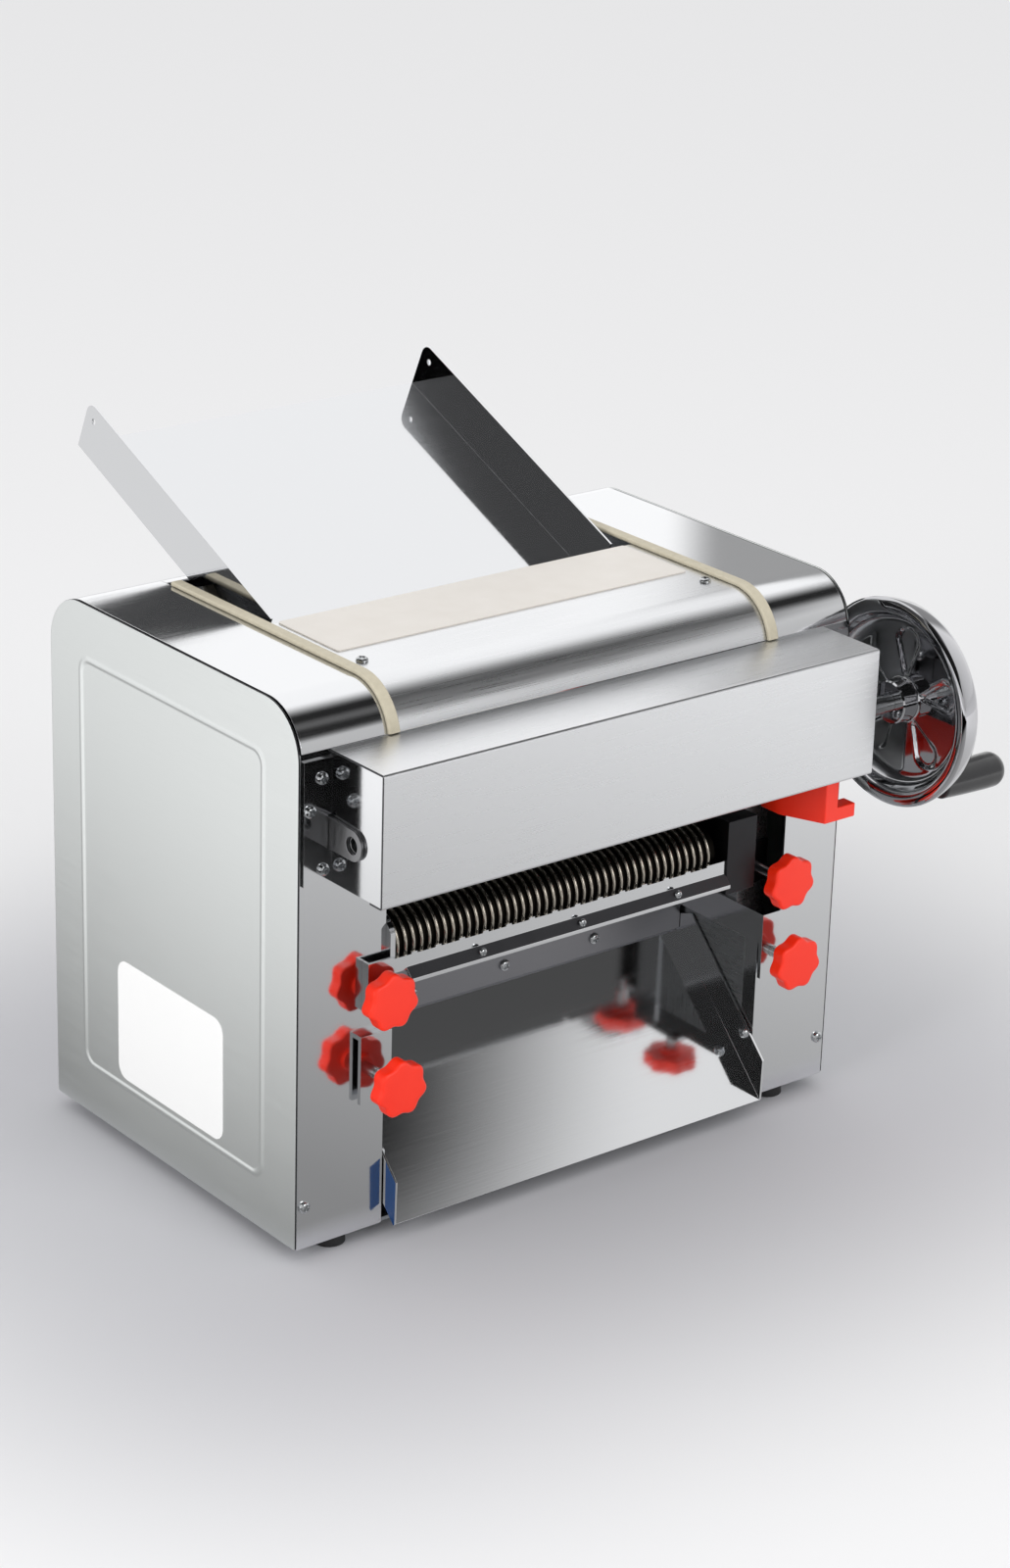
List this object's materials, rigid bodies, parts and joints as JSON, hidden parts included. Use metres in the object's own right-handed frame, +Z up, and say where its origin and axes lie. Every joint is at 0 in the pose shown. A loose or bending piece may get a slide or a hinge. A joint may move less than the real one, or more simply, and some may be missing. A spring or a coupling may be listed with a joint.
{
  "type": "electric dough sheeter and noodle cutter",
  "caption": "Bench-top electric dough sheeter: press rollers under a sloping feed chute, gap wheel with grip, grooved cutter rollers, star knobs and an outfeed tray.",
  "frame": {"origin": "on the bench surface, under the middle of the body's footprint", "axes": "+Z up, -Y towards the user at the outfeed tray, +X towards the hand wheel"},
  "size_m": [0.4321, 0.3801, 0.3698],
  "materials": {
    "satin_steel": "satin brushed",
    "polished_steel": "mirror polished",
    "plain_steel": "zinc plated",
    "roller_steel": "hard chromed",
    "wheel_chrome": "chromed",
    "gear_steel": "oiled steel",
    "bronze": "oiled bronze",
    "dark_casting": "dark casting",
    "red_plastic": "semi gloss",
    "black_plastic": "gloss",
    "cream_rubber": "matte",
    "cream_plastic": "satin",
    "white_label": "satin",
    "black_rubber": "matte",
    "motor_grey": "painted"
  },
  "bodies": {
    "machine_body": {"base_plate": "plain_steel", "rubber_feet": "black_rubber", "left_side_cover": "satin_steel", "right_side_cover": "satin_steel", "side_label": "white_label", "left_top_cover": "polished_steel", "right_top_cover": "polished_steel", "left_front_panel": "polished_steel", "right_front_panel": "polished_steel", "left_frame_plate": "plain_steel", "right_frame_plate": "plain_steel", "rear_panel": "satin_steel", "central_top_cover": "polished_steel", "top_plate": "cream_plastic", "edge_strips": "cream_rubber", "feed_chute": "polished_steel", "front_box_cover": "satin_steel", "box_end_brackets": "polished_steel", "roller_scrapers": "cream_plastic", "drive_belt": "black_rubber", "motor_cradle": "plain_steel", "motor_housing": "motor_grey", "cutter_gear_case": "dark_casting", "front_comb": "polished_steel", "cutter_end_plate": "plain_steel", "shaft_bearings": "bronze", "drive_chain": "gear_steel", "sheet_guide": "polished_steel", "cross_bar": "polished_steel", "outfeed_tray": "polished_steel", "panel_screws": "polished_steel", "knob_studs": "plain_steel", "lever_mount": "plain_steel", "switch_body": "black_plastic", "cable_gland": "black_plastic"},
    "rear_roller": {"rear_press_roller": "roller_steel", "rear_roller_gear": "gear_steel", "big_gear": "gear_steel", "roller_sprocket": "gear_steel"},
    "front_slider": {"front_bearing_blocks": "plain_steel", "adjusting_arms": "plain_steel"},
    "front_roller": {"front_press_roller": "roller_steel", "front_roller_gear": "gear_steel"},
    "adjuster": {"adjusting_shaft": "wheel_chrome", "hand_wheel": "wheel_chrome", "wheel_bolts": "wheel_chrome"},
    "grip": {"wheel_grip": "black_plastic"},
    "countershaft": {"countershaft": "gear_steel", "driven_pulley": "gear_steel"},
    "motor_rotor": {"motor_shaft": "gear_steel"},
    "cutter_rear": {"rear_cutter_roller": "roller_steel", "cutter_drive_shaft": "gear_steel"},
    "cutter_front": {"front_cutter_roller": "roller_steel"},
    "upper_left_knob": {"upper_left_knob": "red_plastic"},
    "upper_right_knob": {"upper_right_knob": "red_plastic"},
    "lower_left_knob": {"lower_left_knob": "red_plastic"},
    "lower_right_knob": {"lower_right_knob": "red_plastic"},
    "lever": {"red_lever": "red_plastic"},
    "rocker": {"switch_rocker": "black_plastic"}
  },
  "joints": [
    {"name": "rear_roller_spin", "type": "hinge", "parent": "machine_body", "child": "rear_roller", "pos_m": [0, 0.04325, 0.236], "axis": [1, 0, 0], "continuous": true},
    {"name": "adjuster_turn", "type": "hinge", "parent": "machine_body", "child": "adjuster", "pos_m": [0, -0.1325, 0.2323], "axis": [1, 0, 0], "range_deg": [0, 180]},
    {"name": "front_roller_slide", "type": "slide", "parent": "machine_body", "child": "front_slider", "axis": [0, -1, 0], "range_m": [0, 0.003]},
    {"name": "front_roller_spin", "type": "hinge", "parent": "front_slider", "child": "front_roller", "pos_m": [0, -0.00525, 0.236], "axis": [1, 0, 0], "continuous": true},
    {"name": "grip_spin", "type": "hinge", "parent": "adjuster", "child": "grip", "pos_m": [0, -0.15958, 0.19123], "axis": [1, 0, 0], "continuous": true},
    {"name": "countershaft_spin", "type": "hinge", "parent": "machine_body", "child": "countershaft", "pos_m": [0, 0.05489, 0.18122], "axis": [1, 0, 0], "continuous": true},
    {"name": "motor_spin", "type": "hinge", "parent": "machine_body", "child": "motor_rotor", "pos_m": [0, 0.054, 0.076], "axis": [1, 0, 0], "continuous": true},
    {"name": "cutter_rear_spin", "type": "hinge", "parent": "machine_body", "child": "cutter_rear", "pos_m": [0, -0.06654, 0.15882], "axis": [1, 0, 0], "continuous": true},
    {"name": "cutter_front_spin", "type": "hinge", "parent": "machine_body", "child": "cutter_front", "pos_m": [0, -0.0985, 0.1605], "axis": [1, 0, 0], "continuous": true},
    {"name": "lever_swing", "type": "hinge", "parent": "machine_body", "child": "lever", "pos_m": [0, -0.102, 0.19], "axis": [1, 0, 0], "range_deg": [0, 15]},
    {"name": "rocker_tilt", "type": "hinge", "parent": "machine_body", "child": "rocker", "pos_m": [0.088, 0.109, 0.158], "axis": [0, 0, 1], "range_deg": [0, 10]},
    {"name": "upper_left_knob_turn", "type": "hinge", "parent": "machine_body", "child": "upper_left_knob", "pos_m": [-0.1332, -0.12, 0.1402], "axis": [0, -1, 0], "range_deg": [0, 360]},
    {"name": "lower_left_knob_turn", "type": "hinge", "parent": "machine_body", "child": "lower_left_knob", "pos_m": [-0.1332, -0.12, 0.0959], "axis": [0, -1, 0], "range_deg": [0, 360]},
    {"name": "upper_right_knob_turn", "type": "hinge", "parent": "machine_body", "child": "upper_right_knob", "pos_m": [0.1332, -0.12, 0.1402], "axis": [0, -1, 0], "range_deg": [0, 360]},
    {"name": "lower_right_knob_turn", "type": "hinge", "parent": "machine_body", "child": "lower_right_knob", "pos_m": [0.1332, -0.12, 0.0959], "axis": [0, -1, 0], "range_deg": [0, 360]}
  ],
  "couplings": [
    {"joint": "front_roller_slide", "follows": "adjuster_turn", "m_per_rad": 0.00095493},
    {"joint": "front_roller_spin", "follows": "rear_roller_spin", "ratio": -1},
    {"joint": "countershaft_spin", "follows": "rear_roller_spin", "ratio": -2.1111},
    {"joint": "motor_spin", "follows": "rear_roller_spin", "ratio": -6.622},
    {"joint": "cutter_rear_spin", "follows": "rear_roller_spin", "ratio": 1},
    {"joint": "cutter_front_spin", "follows": "rear_roller_spin", "ratio": -1}
  ]
}
